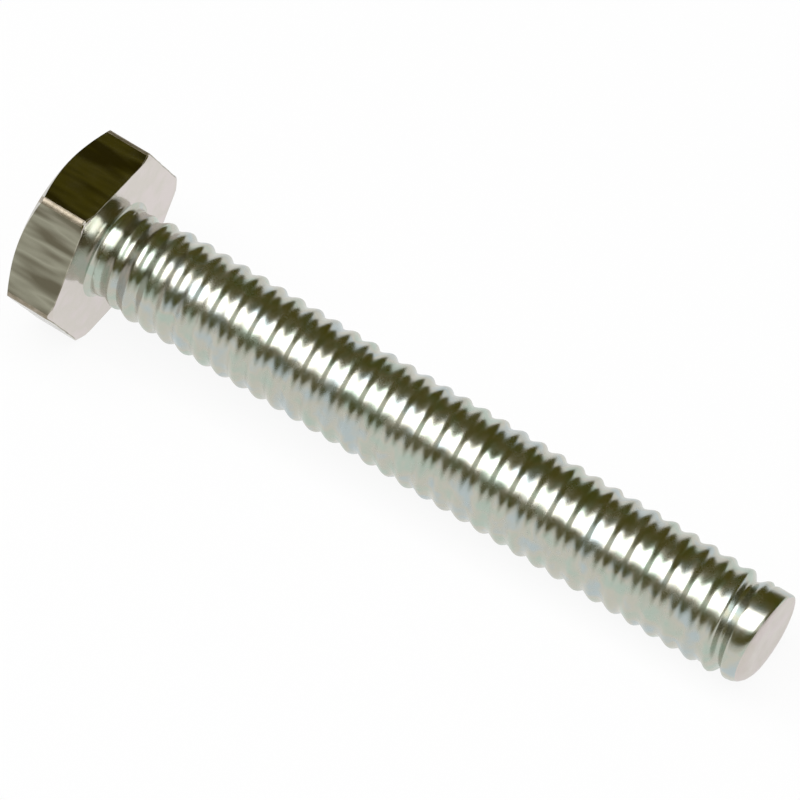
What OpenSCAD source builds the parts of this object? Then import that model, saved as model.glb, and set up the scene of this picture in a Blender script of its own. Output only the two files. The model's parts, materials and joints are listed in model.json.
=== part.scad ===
// Shear bolt: a hex-head bolt threaded up to its head, 1/4-20 x 1-3/4 inch, forged and rolled
// from one steel blank.
// It lies on a flat surface at Z = 0, as it comes to rest: on the shank-side edge of one of the
// head's flats and on the last full crest of its thread. Its axis is in the XZ plane, the head is
// towards -X, and the origin is on the surface, under the middle of the bolt's box. The threaded
// length is a plain cylinder at the major diameter, because the crests are what a hole or a nut
// meets.

/* [Head] */
// Width of the hexagon across its flats
across_flats = 11.1; // [9.5:0.1:14]
// Height of the head above its bearing face
head_height = 3.5; // [2.5:0.1:6]
// How far the round edge of the bearing face lies outside the middles of the flats
bearing_reach = 0.45; // [0.1:0.05:0.5]
// Slope of the head's underside from that edge back to the corners, in degrees
underside_angle = 30; // [5:1:35]
// How far the round edge of the top face lies inside the flats
top_inset = 0.15; // [0.05:0.05:0.6]
// Slope of the corner chamfers from the top face, in degrees
chamfer_angle = 30; // [15:1:35]

/* [Shank] */
// Length under the head, from the bearing face to the end face
length = 44.45; // [30:0.05:60]
// Major diameter of the thread, over its crests
thread_d = 6.2; // [5:0.05:8]
// How far the surface of the rolling blank lies below the crests
blank_step = 0.35; // [0.2:0.05:0.7]
// Length of the bare blank between the bearing face and the run-out
neck_length = 0.8; // [0.7:0.1:4]
// Length of the run-out, where the thread grows to its full height
runout_length = 1; // [0.6:0.1:4]
// Radius of the fillet under the head
fillet_r = 0.35; // [0.1:0.05:0.6]

/* [Point] */
// Length of the point, from the last full crest to the end face
point_length = 1.3; // [1:0.1:3]
// How far the surface of the point lies below the crests
point_step = 0.2; // [0.2:0.05:0.7]
// Length of the slope from the last full crest down to the point
point_slope = 0.3; // [0.1:0.05:0.4]
// Length of the end chamfer along the axis
chamfer_length = 0.55; // [0.1:0.05:0.55]
// How much the end chamfer takes off the point's radius
chamfer_depth = 0.5; // [0.1:0.05:0.7]

/* [Hidden] */

$fn = 96;
zinc_plate = [0.72, 0.71, 0.67];
// Straight pieces in the outline of the fillet
fillet_steps = 6;
// How far the turned outline that shapes the head stands clear of the hexagon's corners
outline_margin = 0.2;

// Radii of the hexagon's corners and flats, and of the top face's and the bearing face's edges
corner_r = across_flats / 2 / cos(30);
flat_r = across_flats / 2;
top_r = flat_r - top_inset;
bearing_r = flat_r + bearing_reach;
// Radii of the crests, the blank, the point and the end face
crest_r = thread_d / 2;
blank_r = crest_r - blank_step;
point_r = crest_r - point_step;
end_r = point_r - chamfer_depth;

// Distances along the axis from the bearing face, positive towards the tip
thread_start = neck_length + runout_length;
thread_end = length - point_length;

// Edges of the shank that can meet the surface, as [distance along the axis, radius]
tip_edges = [[thread_end, crest_r], [length - chamfer_length, point_r], [length, end_r]];
// Lean of the axis at rest, with a flat's edge and the first of those edges on the surface
lean = min([for (edge = tip_edges) atan((flat_r - edge[1]) / edge[0])]);
// Height of the bearing face's centre over the surface
centre_height = flat_r * cos(lean);
// How far the bolt reaches along X from the bearing face's centre, towards its tip and its head
tip_reach = length * cos(lean) + end_r * sin(lean);
head_reach = head_height * cos(lean) + top_r * sin(lean);

// Quarter circle that widens the neck into the bearing face
fillet_outline = [for (i = [0:fillet_steps])
    let (turn = 90 * i / fillet_steps)
    [blank_r + fillet_r * (1 - sin(turn)), fillet_r * (1 - cos(turn))]];

// Turned outline of the head: the chamfer over its corners, and its underside out to them
module head_outline() {
    outer_r = corner_r + outline_margin;
    rotate_extrude()
        polygon([
            [0, -head_height],
            [top_r, -head_height],
            [outer_r, (outer_r - top_r) * tan(chamfer_angle) - head_height],
            [outer_r, -(outer_r - bearing_r) * tan(underside_angle)],
            [bearing_r, 0],
            [0, 0]
        ]);
}

// Hexagonal head with its top face downwards, its bearing face at Z = 0 and a flat towards +X
module head() {
    color(zinc_plate)
    intersection() {
        translate([0, 0, -head_height])
            rotate([0, 0, 30])
            cylinder(r = corner_r, h = head_height, $fn = 6);
        head_outline();
    }
}

// Neck, run-out, threaded length, point and end chamfer as one turned outline
module shank() {
    root_z = -head_height / 2;
    color(zinc_plate)
    rotate_extrude()
        polygon(concat(
            [[0, root_z], [blank_r + fillet_r, root_z]],
            fillet_outline,
            [
                [blank_r, neck_length],
                [crest_r, thread_start],
                [crest_r, thread_end],
                [point_r, thread_end + point_slope],
                [point_r, length - chamfer_length],
                [end_r, length],
                [0, length]
            ]
        ));
}

// Lays an upright bolt down: its +Z goes to +X, and its tip leans down to the surface
module at_rest() {
    translate([(head_reach - tip_reach) / 2, 0, centre_height])
        rotate([0, 90 + lean, 0])
        children();
}

module bolt() {
    at_rest() {
        union() {
            head();
            shank();
        }
    }
}

bolt();
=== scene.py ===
"""Looks of the shear bolt: one zinc-plated steel piece with a rolled 1/4-20 thread, on a white floor.

All lengths are in metres in the row frame, where the bolt lies on Z = 0 with its tip towards +X.
"""

import json
import math

import bpy
from mathutils import Matrix, Vector, noise


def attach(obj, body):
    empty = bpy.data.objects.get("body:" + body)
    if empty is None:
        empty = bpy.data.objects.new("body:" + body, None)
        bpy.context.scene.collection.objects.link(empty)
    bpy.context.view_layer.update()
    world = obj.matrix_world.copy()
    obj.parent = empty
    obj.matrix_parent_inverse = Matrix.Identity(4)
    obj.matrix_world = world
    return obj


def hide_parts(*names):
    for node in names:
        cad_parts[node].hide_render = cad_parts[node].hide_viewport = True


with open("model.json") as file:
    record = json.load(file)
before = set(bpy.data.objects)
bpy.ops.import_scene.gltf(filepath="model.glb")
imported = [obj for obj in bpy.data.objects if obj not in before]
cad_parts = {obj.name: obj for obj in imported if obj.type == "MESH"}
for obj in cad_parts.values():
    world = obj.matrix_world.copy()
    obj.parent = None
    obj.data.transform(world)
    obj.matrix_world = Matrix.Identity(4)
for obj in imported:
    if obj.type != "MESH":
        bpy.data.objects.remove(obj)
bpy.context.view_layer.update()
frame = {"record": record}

MM = 0.001


# ---------------------------------------------------------------- the bolt's sizes, from the frame


def mount(name):
    """The record's mount of that name."""
    return next(m for m in frame["record"]["mounts"] if m["name"] == name)


# Directions along the bolt from head to tip, across it towards the camera's side, and upwards
AXIS = Vector(mount("thread")["axis"]).normalized()
SIDE = Vector((0, -1, 0))
UP = SIDE.cross(AXIS)

# Distances along the axis are measured from the bearing face, and are positive towards the tip
TOP_CENTRE = Vector(mount("top_face")["pos_m"])
HEAD_HEIGHT = (Vector(mount("bearing_face")["pos_m"]) - TOP_CENTRE).dot(AXIS)
BEARING_CENTRE = TOP_CENTRE + AXIS * HEAD_HEIGHT
CREST_R = mount("thread")["dims"]["r_mm"] * MM
THREAD_MIDDLE = (Vector(mount("thread")["pos_m"]) - BEARING_CENTRE).dot(AXIS)
THREAD_LENGTH = mount("thread")["dims"]["length_mm"] * MM
THREAD_END = THREAD_MIDDLE + THREAD_LENGTH / 2

# Head: the hexagon, its chamfer from the top face and its slopes outside the bearing face
FLAT_R = BEARING_CENTRE.z / UP.z
BEARING_R = FLAT_R + 0.45 * MM
UNDERSIDE_SLOPE = math.tan(math.radians(30))
TOP_R = FLAT_R - 0.15 * MM
CHAMFER_SLOPE = math.tan(math.radians(30))
CORNER_ROUND = 0.42 * MM
EDGE_ROUND = 0.08 * MM
# Least width of the slope's strips of faces, for the flats, where there is no slope
LEAST_SLOPE_WIDTH = 0.02 * MM
# Depth of the hollow in the top face, and of the ripples in the faces and the sides
TOP_HOLLOW = 0.02 * MM
TOP_RIPPLE = 0.006 * MM
BEARING_RIPPLE = 0.008 * MM
SIDE_RIPPLE = 0.004 * MM
# Depth of the trimming die's drag marks on the sides, and how fast they grow from the corners
TRIM_DEPTH = 0.06 * MM
TRIM_GROWTH = 2.5
# Where the marks' noise is read: its steps from column to column and from side to side
TRIM_COLUMN_STEP = 0.55
TRIM_SIDE_STEP = 7.3
TRIM_SEED = 2.0

# Neck, and the thread's growth out of it: its crests rise and its grooves deepen
BLANK_R = CREST_R - 0.35 * MM
FILLET_R = 0.35 * MM
FILLET_STEPS = 5
NECK_END = 0.40 * MM
RUNOUT_END = 3.2 * MM
GROOVE_START = 0.3 * MM
GROOVE_FULL = 1.3 * MM

# Thread: its pitch and depth, and how far it is moved along the axis to set where its turns fall
PITCH = 1.27 * MM
THREAD_DEPTH = 0.26 * MM
THREAD_SHIFT = -0.12 * MM
# Rows of the mesh in a pitch
THREAD_STEPS = 14
# Place of a root past a crest, as a share of the pitch, so the flanks that face the tip are steeper
ROOT_PLACE = 0.36
# Depth of the patches where the crests are worn down, and of the ripple along them
WEAR_DEPTH = 0.12 * MM
CREST_RIPPLE = 0.018 * MM
# The last groove: how much deeper it is, as a share of the thread's depth, and where
LAST_DEEPER = 0.9
DEEPER_FROM = THREAD_END - 1.55 * MM
DEEPEST = THREAD_END - 1.05 * MM
FADE_START = THREAD_END - 0.25 * MM
FADE_END = THREAD_END + 0.25 * MM

# Point and its rounded end
POINT_R = CREST_R - 0.17 * MM
POINT_LENGTH = 1.3 * MM
LENGTH = THREAD_END + POINT_LENGTH
END_CHAMFER = 0.6 * MM
END_STEPS = 5
# How many strips of faces, counted from the thread, are as bright as the neck
END_BRIGHT = 3
END_R = CREST_R - 0.9 * MM
END_HOLLOW = 0.03 * MM
# The end's edge is worn by this much more at one turn, and by as much less on the other side
END_WEAR = 0.25 * MM
END_WEAR_TURN = math.radians(122.7)
# How many times as far the wear reaches along the axis as towards it
END_WEAR_REACH = 1.8

# Columns of the mesh round the axis, in six equal sides
FLAT_COLUMNS = 18
ARC_COLUMNS = 4
SIDE_COLUMNS = FLAT_COLUMNS + ARC_COLUMNS
COLUMNS = 6 * SIDE_COLUMNS
# Edges that turn by more than this are shaded as sharp ones
SHARP_ANGLE = math.radians(38)


# ---------------------------------------------------------------- the mesh's tools


def wobble(along, turn, radius, scale, seed):
    """Smooth noise from -1 to 1 on the bolt's surface, with features of about scale metres."""
    spot = Vector((along, radius * math.cos(turn), radius * math.sin(turn))) / scale
    return noise.noise(spot + Vector((seed, 0, 0)))


def ripple(along, turn, radius, scale, seed):
    """The same noise, from 0 to 1."""
    return 0.5 + 0.5 * wobble(along, turn, radius, scale, seed)


def ease(value, start, end):
    """0 before start and 1 after end, with a smooth rise between them."""
    share = min(1.0, max(0.0, (value - start) / (end - start)))
    return share * share * (3 - 2 * share)


def quarter_turn(steps):
    """Angles in equal steps, the last of them 90 degrees."""
    return [math.radians(90 * (k + 1) / steps) for k in range(steps)]


def column_turn(column):
    """Angle of a column round the shank, from UP towards SIDE. The middle of a flat is at 0."""
    return math.tau * (column - (FLAT_COLUMNS - 1) / 2) / COLUMNS


class Skin:
    """A closed skin made of rings of vertices round the bolt's axis, from the head to the tip."""

    def __init__(self):
        self.points = []
        self.faces = []
        self.kinds = []

    def add(self, along, radius, turn):
        """A vertex at a distance along the axis, a radius and an angle. Returns its number."""
        across = UP * math.cos(turn) + SIDE * math.sin(turn)
        self.points.append(BEARING_CENTRE + AXIS * along + across * radius)
        return len(self.points) - 1

    def face(self, corners, kind):
        """A face through the corners, less any that repeat the one before."""
        kept = [c for k, c in enumerate(corners) if c != corners[k - 1]]
        if len(kept) > 2:
            self.faces.append(kept)
            self.kinds.append(kind)

    def ring(self, place, *where):
        """One vertex per column, where place(*where, column) gives (along, radius, turn)."""
        return [self.add(*place(*where, column)) for column in range(COLUMNS)]

    def bridge(self, first, second, kind):
        """Faces between two rings, the second further along the skin towards the tip.

        On the head's sides, the faces of the hexagon's rounded corners are of their own kind.
        """
        for k in range(COLUMNS):
            after = (k + 1) % COLUMNS
            at_corner = kind == "side" and k % SIDE_COLUMNS >= FLAT_COLUMNS - 1
            corners = [first[k], first[after], second[after], second[k]]
            self.face(corners, "corner" if at_corner else kind)

    def cap(self, ring, along, kind, faces_tip):
        """A fan that closes a ring at the axis."""
        centre = self.add(along, 0, 0)
        for k in range(COLUMNS):
            edge = [ring[k], ring[(k + 1) % COLUMNS]]
            self.face([*(edge if faces_tip else edge[::-1]), centre], kind)


def turned_place(along, radius, column):
    """A place on a plain turned surface."""
    return along, radius, column_turn(column)


# ---------------------------------------------------------------- head


def hexagon_point(column):
    """(radius, turn) of the hexagon's outline at a column, with its corners rounded."""
    side, step = divmod(column, SIDE_COLUMNS)
    arc_centre = (FLAT_R - CORNER_ROUND) / math.cos(math.radians(30))
    half_flat = arc_centre / 2
    if step < FLAT_COLUMNS:
        across = half_flat * (2 * step / (FLAT_COLUMNS - 1) - 1)
        x, y = FLAT_R, across
    else:
        lean = math.radians(60) * (step - FLAT_COLUMNS + 1) / (ARC_COLUMNS + 1)
        x = FLAT_R - CORNER_ROUND + CORNER_ROUND * math.cos(lean)
        y = half_flat + CORNER_ROUND * math.sin(lean)
    return math.hypot(x, y), math.atan2(y, x) + side * math.radians(60)


def trim_marks(column):
    """How deep the trimming die's drag marks cut the head's side at a column."""
    side, step = divmod(column, SIDE_COLUMNS)
    if step >= FLAT_COLUMNS:
        return 0.0
    inside = math.sin(math.pi * step / (FLAT_COLUMNS - 1))
    spot = Vector((step * TRIM_COLUMN_STEP, side * TRIM_SIDE_STEP, TRIM_SEED))
    depth = 0.5 + 0.5 * noise.noise(spot)
    return TRIM_DEPTH * depth * min(1.0, TRIM_GROWTH * inside)


def trimmed_point(column):
    """(radius, turn) of the hexagon's outline at a column, with its drag marks."""
    radius, turn = hexagon_point(column)
    return radius - trim_marks(column), turn


def chamfer(radius):
    """How far along the axis the chamfer over the corners is, at a radius."""
    return -HEAD_HEIGHT + (radius - TOP_R) * CHAMFER_SLOPE


def underside(radius):
    """How far along the axis the underside is, at a radius."""
    return -max(0.0, radius - BEARING_R) * UNDERSIDE_SLOPE


def top_place(share, column):
    """A place on the top face, from its middle out to the chamfer."""
    turn = column_turn(column)
    dent = TOP_HOLLOW * (1 - share)
    dent += TOP_RIPPLE * ripple(0, turn, share * TOP_R, scale=2 * MM, seed=5)
    return -HEAD_HEIGHT + dent, share * TOP_R, turn


def chamfer_place(share, column):
    """A place on the chamfer, from the top face out to the sides."""
    radius, turn = trimmed_point(column)
    reach = TOP_R + (radius - TOP_R) * share
    return chamfer(reach), reach, turn


def side_place(share, column):
    """A place on the sides, from the chamfer to the rounded edge of the underside."""
    radius, turn = trimmed_point(column)
    start = chamfer(radius)
    along = start + (underside(radius) - EDGE_ROUND - start) * share
    dent = SIDE_RIPPLE * (1 - wobble(along, turn, radius, scale=1.5 * MM, seed=11))
    return along, radius - dent * math.sin(math.pi * share), turn


def edge_place(lean, column):
    """A place on the rounded edge of the underside, from the sides at a lean of 0."""
    radius, turn = trimmed_point(column)
    along = underside(radius) - EDGE_ROUND * (1 - math.sin(lean))
    return along, radius - EDGE_ROUND * (1 - math.cos(lean)), turn


def slope_ends(column):
    """(outer radius, inner radius, turn) of the underside's slope at a column."""
    radius, turn = trimmed_point(column)
    outer = radius - EDGE_ROUND
    return outer, min(outer - LEAST_SLOPE_WIDTH, BEARING_R), turn


def slope_place(share, column):
    """A place on the underside's slope, from the rounded edge in to the bearing face."""
    outer, inner, turn = slope_ends(column)
    reach = outer + (inner - outer) * share
    return underside(reach), reach, turn


def bearing_place(share, column):
    """A place on the bearing face, from the slope in to the fillet."""
    _, outer, turn = slope_ends(column)
    reach = outer + (BLANK_R + FILLET_R - outer) * share
    dent = BEARING_RIPPLE * ripple(0, turn, reach, scale=1.8 * MM, seed=23)
    blend = turn + (column_turn(column) - turn) * share
    return -dent * math.sin(math.pi * share), reach, blend


def build_head(skin):
    """Top face, chamfer, six sides, underside and bearing face. Returns the ring at the fillet."""
    stretches = [
        (top_place, "face", (0.2, 0.4, 0.6, 0.8, 0.93, 0.985, 1.0)),
        (chamfer_place, "side", (0.08, 0.5, 0.94, 1.0)),
        (side_place, "side", (0.02, 0.1, 0.3, 0.5, 0.7, 0.9, 1.0)),
        (edge_place, "side", quarter_turn(4)),
        (slope_place, "face", (0.15, 0.5, 0.85, 1.0)),
        (bearing_place, "face", (0.03, 0.15, 0.3, 0.45, 0.6, 0.75, 0.9, 1.0)),
    ]
    rings = [(skin.ring(place, where), kind) for place, kind, shares in stretches for where in shares]
    skin.cap(rings[0][0], -HEAD_HEIGHT + TOP_HOLLOW, "face", faces_tip=False)
    for (before, _), (after, kind) in zip(rings, rings[1:]):
        skin.bridge(before, after, kind)
    return rings[-1][0]


# ---------------------------------------------------------------- shank


def build_neck(skin, start):
    """Fillet and bare neck, from the bearing face's inner ring. Returns the ring at the thread."""
    rings = [start]
    for lean in quarter_turn(FILLET_STEPS):
        along = FILLET_R * (1 - math.cos(lean))
        rings.append(skin.ring(turned_place, along, BLANK_R + FILLET_R * (1 - math.sin(lean))))
    rings.append(skin.ring(turned_place, NECK_END, BLANK_R))
    for before, after in zip(rings, rings[1:]):
        skin.bridge(before, after, "neck")
    return rings[-1]


def thread_depth(distance):
    """Depth under the crests at a distance past a crest, along the axis."""
    share = distance / PITCH % 1
    if share < ROOT_PLACE:
        phase = math.pi * share / ROOT_PLACE
    else:
        phase = math.pi * (1 + (share - ROOT_PLACE) / (1 - ROOT_PLACE))
    return THREAD_DEPTH * (0.5 - 0.5 * math.cos(phase))


def shank_radius(along, turn, distance):
    """Radius of the threaded length at a distance past a crest.

    Near the head the crests are lower. The last groove is the deepest, and past it is the point.
    """
    crest = CREST_R - CREST_RIPPLE * ripple(along, turn, CREST_R, scale=2.2 * MM, seed=31)
    crest -= WEAR_DEPTH * max(0.0, wobble(along, turn, CREST_R, scale=5 * MM, seed=47))
    crest -= (CREST_R - BLANK_R) * (1 - ease(along, 0, RUNOUT_END))
    crest += (POINT_R - crest) * ease(along, DEEPEST, FADE_END)
    grown = ease(along, GROOVE_START, GROOVE_FULL) + LAST_DEEPER * ease(along, DEEPER_FROM, DEEPEST)
    return crest - thread_depth(distance) * grown * (1 - ease(along, FADE_START, FADE_END))


def build_thread(skin, first, last):
    """The helical skin between two rings. Its rows follow the right-hand helix.

    A row climbs by a pitch in a turn, so a vertex past the last column is one of a later row.
    Vertices that fall before the first ring or past the last one are taken from those rings.
    """
    grid = {}

    def vertex(column, row):
        turns, column = divmod(column, COLUMNS)
        row += turns * THREAD_STEPS
        distance = row * PITCH / THREAD_STEPS
        along = distance + THREAD_SHIFT + PITCH * column / COLUMNS
        if along <= NECK_END:
            return first[column]
        if along >= FADE_END:
            return last[column]
        key = (column, row)
        if key not in grid:
            turn = column_turn(column)
            grid[key] = skin.add(along, shank_radius(along, turn, distance), turn)
        return grid[key]

    for row in range(-2 * THREAD_STEPS, math.ceil(FADE_END / PITCH + 1) * THREAD_STEPS):
        for column in range(COLUMNS):
            corners = [(column, row), (column + 1, row), (column + 1, row + 1), (column, row + 1)]
            skin.face([vertex(*corner) for corner in corners], "thread")


def end_place(lean, column):
    """A place on the rounded end, from the point at a lean of 0 to the end face at 90 degrees."""
    turn = column_turn(column)
    wear = END_WEAR * math.cos(turn - END_WEAR_TURN)
    start = LENGTH - END_CHAMFER - END_WEAR_REACH * wear
    drop = (POINT_R - END_R + wear) * (1 - math.cos(lean))
    return start + (LENGTH - start) * math.sin(lean), POINT_R - drop, turn


def build_point(skin, start):
    """Point, rounded end and slightly hollow end face, from the ring where the thread ends."""
    rings = [start, *(skin.ring(end_place, lean) for lean in (0, *quarter_turn(END_STEPS)))]
    for k, (before, after) in enumerate(zip(rings, rings[1:])):
        skin.bridge(before, after, "neck" if k < END_BRIGHT else "end")

    inner = END_R - END_WEAR
    edge = skin.ring(turned_place, LENGTH, 0.97 * inner)
    middle = skin.ring(turned_place, LENGTH - END_HOLLOW * 2 / 3, 0.5 * inner)
    skin.bridge(rings[-1], edge, "end")
    skin.bridge(edge, middle, "end")
    skin.cap(middle, LENGTH - END_HOLLOW, "end", faces_tip=True)


def build_bolt():
    """The whole bolt as one closed mesh that stands for the CAD node, and the kinds of its faces."""
    skin = Skin()
    neck = build_neck(skin, build_head(skin))
    point = skin.ring(turned_place, FADE_END, POINT_R)
    build_thread(skin, neck, point)
    build_point(skin, point)

    mesh = bpy.data.meshes.new("bolt_skin")
    mesh.from_pydata(skin.points, [], skin.faces)
    for polygon in mesh.polygons:
        polygon.use_smooth = True
    mesh.set_sharp_from_angle(angle=SHARP_ANGLE)
    mesh.update()
    bolt = bpy.data.objects.new("bolt_skin", mesh)
    bpy.context.scene.collection.objects.link(bolt)
    return bolt, skin.kinds


# ---------------------------------------------------------------- materials

# Tints of the plate
GREEN = (0.44, 0.51, 0.44)
BROWN = (0.52, 0.51, 0.44)
BLUE = (0.45, 0.51, 0.51)
PINK = (0.64, 0.58, 0.56)
PALE = (0.60, 0.56, 0.51)
DARK_TRIM = (0.17, 0.15, 0.105)
LIGHT_TRIM = (0.42, 0.40, 0.32)
WORN = (0.40, 0.35, 0.28)
SCUFFED = (0.30, 0.26, 0.19)

# Scales of noise, in features per metre along the bolt's axis and in both directions across it
FINE = (2500, 2500, 2500)
ALONG = (300, 2400, 2400)
STREAKS = (150, 800, 800)
SMEARS = (900, 900, 900)

# The values of noise that the tints are spread over, and those that the roughness is spread over
TINT_FROM = 0.34
TINT_TO = 0.66
ROUGH_FROM = 0.3
ROUGH_TO = 0.7


def patches(size):
    """The scale of noise for patches of a size, the same in all directions."""
    return (1 / size, 1 / size, 1 / size)


# Each kind of face: its tints, its least and most roughness, the height of its bumps, and the
# scales of its bumps and of its tints
LOOKS = {
    "thread": ([GREEN, BROWN, BLUE], (0.20, 0.31), 0.003 * MM, FINE, patches(1.5 * MM)),
    "neck": ([GREEN, BROWN, BLUE], (0.18, 0.28), 0.003 * MM, FINE, patches(1.5 * MM)),
    "side": ([DARK_TRIM, LIGHT_TRIM, DARK_TRIM], (0.08, 0.18), 0.004 * MM, ALONG, STREAKS),
    "corner": ([WORN, SCUFFED, WORN], (0.44, 0.56), 0.004 * MM, ALONG, patches(0.8 * MM)),
    "face": ([PINK, PALE, PINK], (0.06, 0.14), 0.002 * MM, FINE, patches(2.0 * MM)),
    "end": ([PINK, PALE, PINK], (0.30, 0.42), 0.006 * MM, FINE, patches(2.0 * MM)),
}


def zinc(material, tints, roughness, bump, grain, patch):
    """Bright zinc plate: metal whose tint and roughness drift, with fine grain in its bump."""
    material.use_nodes = True
    nodes, links = material.node_tree.nodes, material.node_tree.links
    shader = nodes["Principled BSDF"]
    shader.inputs["Metallic"].default_value = 1.0

    coords = nodes.new("ShaderNodeTexCoord")
    turned = nodes.new("ShaderNodeMapping")
    turned.inputs["Rotation"].default_value = (0, math.asin(AXIS.z), 0)
    links.new(coords.outputs["Object"], turned.inputs["Vector"])

    def cloud(scale, detail):
        squeeze = nodes.new("ShaderNodeMapping")
        squeeze.inputs["Scale"].default_value = scale
        links.new(turned.outputs["Vector"], squeeze.inputs["Vector"])
        texture = nodes.new("ShaderNodeTexNoise")
        texture.inputs["Scale"].default_value = 1.0
        texture.inputs["Detail"].default_value = detail
        links.new(squeeze.outputs["Vector"], texture.inputs["Vector"])
        return texture.outputs["Fac"]

    ramp = nodes.new("ShaderNodeValToRGB")
    ramp.color_ramp.elements.remove(ramp.color_ramp.elements[0])
    for k, tint in enumerate(tints):
        spot = TINT_FROM + (TINT_TO - TINT_FROM) * k / (len(tints) - 1)
        element = ramp.color_ramp.elements[0] if k == 0 else ramp.color_ramp.elements.new(spot)
        element.position = spot
        element.color = (*tint, 1)
    links.new(cloud(patch, detail=2), ramp.inputs["Fac"])
    links.new(ramp.outputs["Color"], shader.inputs["Base Color"])

    rough = nodes.new("ShaderNodeMapRange")
    rough.inputs["From Min"].default_value = ROUGH_FROM
    rough.inputs["From Max"].default_value = ROUGH_TO
    rough.inputs["To Min"].default_value = roughness[0]
    rough.inputs["To Max"].default_value = roughness[1]
    links.new(cloud(SMEARS, detail=4), rough.inputs["Value"])
    links.new(rough.outputs["Result"], shader.inputs["Roughness"])

    relief = nodes.new("ShaderNodeBump")
    relief.inputs["Strength"].default_value = 1.0
    relief.inputs["Distance"].default_value = bump
    links.new(cloud(grain, detail=3), relief.inputs["Height"])
    links.new(relief.outputs["Normal"], shader.inputs["Normal"])


def paint(bolt, kinds):
    """Gives each kind of face its zinc finish."""
    names = list(LOOKS)
    for name in names:
        material = bpy.data.materials.new(f"zinc_{name}")
        zinc(material, *LOOKS[name])
        bolt.data.materials.append(material)
    for polygon, kind in zip(bolt.data.polygons, kinds):
        polygon.material_index = names.index(kind)


# ---------------------------------------------------------------- studio

# The floor's half width, its colour under light, and its own brightness to the camera and in mirrors
FLOOR_HALF = 0.9
FLOOR_GREY = (0.08, 0.08, 0.08)
FLOOR_LIFT = 0.91
WORLD_LIGHT = 0.3
# The softbox's brightness as a share of white, and in the plane across the bolt its direction, its
# distance and its size
SOFTBOX_LIGHT = 2.5
SOFTBOX_ANGLE = math.radians(78.1)
SOFTBOX_REACH = 0.5
SOFTBOX_DEPTH = 0.39
# Its ends along X. It is longer on the head's side, so the flanks that face the head shine too.
SOFTBOX_FROM = -1.1
SOFTBOX_TO = 0.42
# The curved cards' radius, their steps and how far they reach along X
CARD_R = 0.6
CARD_STEPS = 24
CARD_REACH = 3.0
# Colours of the cards
WHITE = (1.0, 1.0, 1.0)
OLIVE_SHADE = (0.095, 0.083, 0.010)
DIM_SHADE = (0.85, 0.87, 0.78)
SKY_SHADE = (0.74, 0.76, 0.72)


def glow(name, colour, strength):
    """An emission material."""
    material = bpy.data.materials.new(name)
    material.use_nodes = True
    nodes, links = material.node_tree.nodes, material.node_tree.links
    nodes.clear()
    output = nodes.new("ShaderNodeOutputMaterial")
    emission = nodes.new("ShaderNodeEmission")
    emission.inputs["Color"].default_value = (*colour, 1)
    emission.inputs["Strength"].default_value = strength
    links.new(emission.outputs["Emission"], output.inputs["Surface"])
    return material


def reflector(name, start, end, colour, strength=1.0, from_x=-CARD_REACH, to_x=CARD_REACH):
    """A curved card round the bolt's length that only reflections see, from one angle to another.

    The angles are in degrees, from the horizon on the camera's side, over the top, to the far side.
    """
    points = []
    for k in range(CARD_STEPS + 1):
        angle = math.radians(start + (end - start) * k / CARD_STEPS)
        for x in (from_x, to_x):
            points.append((x, -CARD_R * math.cos(angle), CARD_R * math.sin(angle)))
    faces = [(2 * k, 2 * k + 1, 2 * k + 3, 2 * k + 2) for k in range(CARD_STEPS)]
    mesh = bpy.data.meshes.new(name)
    mesh.from_pydata(points, [], faces)
    mesh.materials.append(glow(name, colour, strength))
    card = bpy.data.objects.new(name, mesh)
    bpy.context.scene.collection.objects.link(card)
    card.visible_camera = False
    card.visible_diffuse = False
    card.visible_shadow = False


def camera_or_mirror(nodes, links):
    """1 where the camera, a reflection or a refraction looks at the surface, and 0 for light."""
    path = nodes.new("ShaderNodeLightPath")
    seen = path.outputs["Is Camera Ray"]
    for other in ("Is Glossy Ray", "Is Transmission Ray"):
        either = nodes.new("ShaderNodeMath")
        either.operation = "MAXIMUM"
        links.new(seen, either.inputs[0])
        links.new(path.outputs[other], either.inputs[1])
        seen = either.outputs["Value"]
    return seen


def build_floor():
    """A white floor that keeps the bolt's shadow."""
    corners = [(x * FLOOR_HALF, y * FLOOR_HALF, 0) for x, y in ((-1, -1), (1, -1), (1, 1), (-1, 1))]
    mesh = bpy.data.meshes.new("floor")
    mesh.from_pydata(corners, [], [(0, 1, 2, 3)])
    material = bpy.data.materials.new("floor")
    material.use_nodes = True
    nodes, links = material.node_tree.nodes, material.node_tree.links
    shader = nodes["Principled BSDF"]
    shader.inputs["Base Color"].default_value = (*FLOOR_GREY, 1)
    shader.inputs["Roughness"].default_value = 0.9
    shader.inputs["Specular IOR Level"].default_value = 0.0
    shader.inputs["Emission Color"].default_value = (1, 1, 1, 1)
    lift = nodes.new("ShaderNodeMath")
    lift.operation = "MULTIPLY"
    lift.inputs[1].default_value = FLOOR_LIFT
    links.new(camera_or_mirror(nodes, links), lift.inputs[0])
    links.new(lift.outputs["Value"], shader.inputs["Emission Strength"])
    mesh.materials.append(material)
    floor = bpy.data.objects.new("floor", mesh)
    bpy.context.scene.collection.objects.link(floor)


def build_world():
    """White to the camera and to reflections, and a plain grey level as light."""
    world = bpy.data.worlds.new("studio")
    bpy.context.scene.world = world
    world.use_nodes = True
    nodes, links = world.node_tree.nodes, world.node_tree.links
    background = nodes["Background"]
    background.inputs["Color"].default_value = (1, 1, 1, 1)
    level = nodes.new("ShaderNodeMapRange")
    level.inputs["To Min"].default_value = WORLD_LIGHT
    level.inputs["To Max"].default_value = 1.0
    links.new(camera_or_mirror(nodes, links), level.inputs["Value"])
    links.new(level.outputs["Result"], background.inputs["Strength"])


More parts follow.
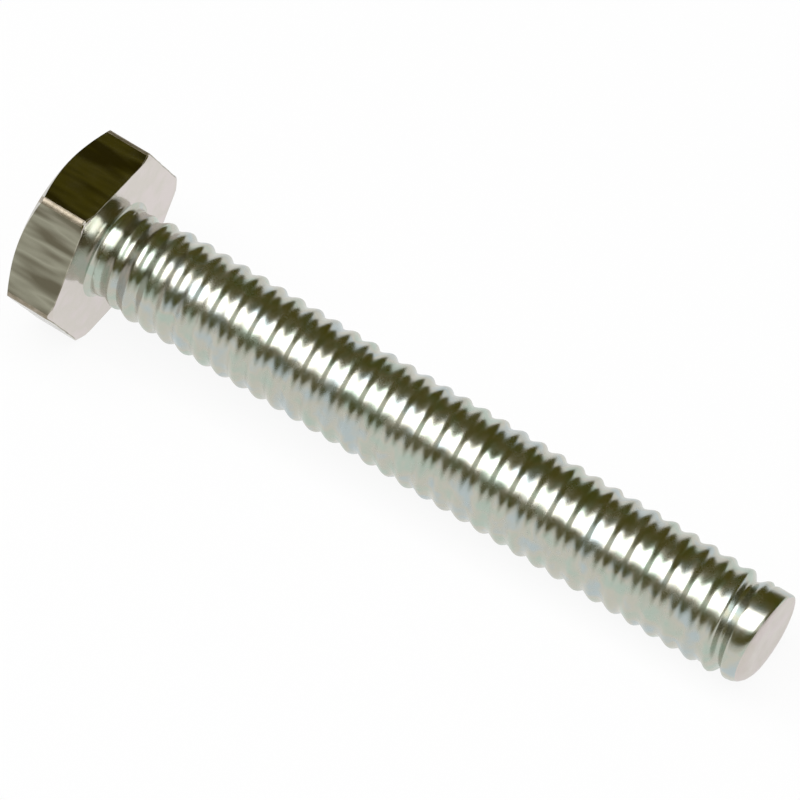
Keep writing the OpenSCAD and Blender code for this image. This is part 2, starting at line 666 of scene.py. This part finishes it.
def build_softbox():
    """A long area lamp over the bolt, which faces it."""
    length = SOFTBOX_TO - SOFTBOX_FROM
    lamp = bpy.data.lights.new("overhead", "AREA")
    lamp.shape = "RECTANGLE"
    lamp.size = SOFTBOX_DEPTH
    lamp.size_y = length
    lamp.energy = SOFTBOX_LIGHT * math.pi * SOFTBOX_DEPTH * length
    across = Vector((0, -math.cos(SOFTBOX_ANGLE), math.sin(SOFTBOX_ANGLE)))
    holder = bpy.data.objects.new("overhead", lamp)
    bpy.context.scene.collection.objects.link(holder)
    holder.location = across * SOFTBOX_REACH + Vector(((SOFTBOX_FROM + SOFTBOX_TO) / 2, 0, 0))
    holder.rotation_euler = across.to_track_quat("Z", "X").to_euler()


def build_studio():
    """Floor, world, softbox and the cards that the metal reflects."""
    build_floor()
    build_world()
    build_softbox()
    reflector("far_flag", start=101, end=178, colour=OLIVE_SHADE)
    reflector("near_flag", start=14.5, end=54, colour=OLIVE_SHADE)
    reflector("near_card", start=0, end=14.5, colour=SKY_SHADE)
    reflector("tip_flag", start=56, end=101, colour=DIM_SHADE, from_x=0.54)
    # This card carries the softbox's light on past the head
    reflector(
        "head_card",
        start=56,
        end=100,
        colour=WHITE,
        strength=SOFTBOX_LIGHT,
        from_x=-2 * CARD_REACH,
        to_x=SOFTBOX_FROM,
    )


# ---------------------------------------------------------------- camera

# Its direction from the bolt, its roll, its distance from the target, and how far the target is
# along the bolt's axis from the bearing face
CAMERA_AZIMUTH = math.radians(32.253)
CAMERA_ELEVATION = math.radians(52.179)
CAMERA_ROLL = math.radians(2.668)
CAMERA_DISTANCE = 0.32531
CAMERA_TARGET = 0.020
# The frame's size, the focal length and the lens's shift, in pixels
FRAME = 800
LENS = 5789.3
LENS_SHIFT = (-2.88, 22.64)
SENSOR_MM = 36


def build_camera():
    """A long lens on the side of the bolt's tip, at the photograph's angle."""
    level = math.cos(CAMERA_ELEVATION)
    back = Vector((
        math.sin(CAMERA_AZIMUTH) * level,
        -math.cos(CAMERA_AZIMUTH) * level,
        math.sin(CAMERA_ELEVATION),
    ))
    right = Vector((math.cos(CAMERA_AZIMUTH), math.sin(CAMERA_AZIMUTH), 0))
    up = back.cross(right)
    right_rolled = math.cos(CAMERA_ROLL) * right + math.sin(CAMERA_ROLL) * up
    up_rolled = math.cos(CAMERA_ROLL) * up - math.sin(CAMERA_ROLL) * right
    lens = bpy.data.cameras.new("camera")
    lens.sensor_width = SENSOR_MM
    lens.lens = SENSOR_MM * LENS / FRAME
    lens.shift_x = LENS_SHIFT[0] / FRAME
    lens.shift_y = LENS_SHIFT[1] / FRAME
    lens.clip_start = 0.01
    lens.clip_end = 10
    camera = bpy.data.objects.new("camera", lens)
    bpy.context.scene.collection.objects.link(camera)
    turn = Matrix((right_rolled, up_rolled, back)).transposed().to_4x4()
    place = BEARING_CENTRE + AXIS * CAMERA_TARGET + back * CAMERA_DISTANCE
    camera.matrix_world = Matrix.Translation(place) @ turn
    bpy.context.scene.camera = camera


# ---------------------------------------------------------------- the scene

bolt, face_kinds = build_bolt()
paint(bolt, face_kinds)
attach(bolt, "root")
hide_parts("bolt")
build_studio()
build_camera()
bpy.context.scene.view_settings.view_transform = "Standard"
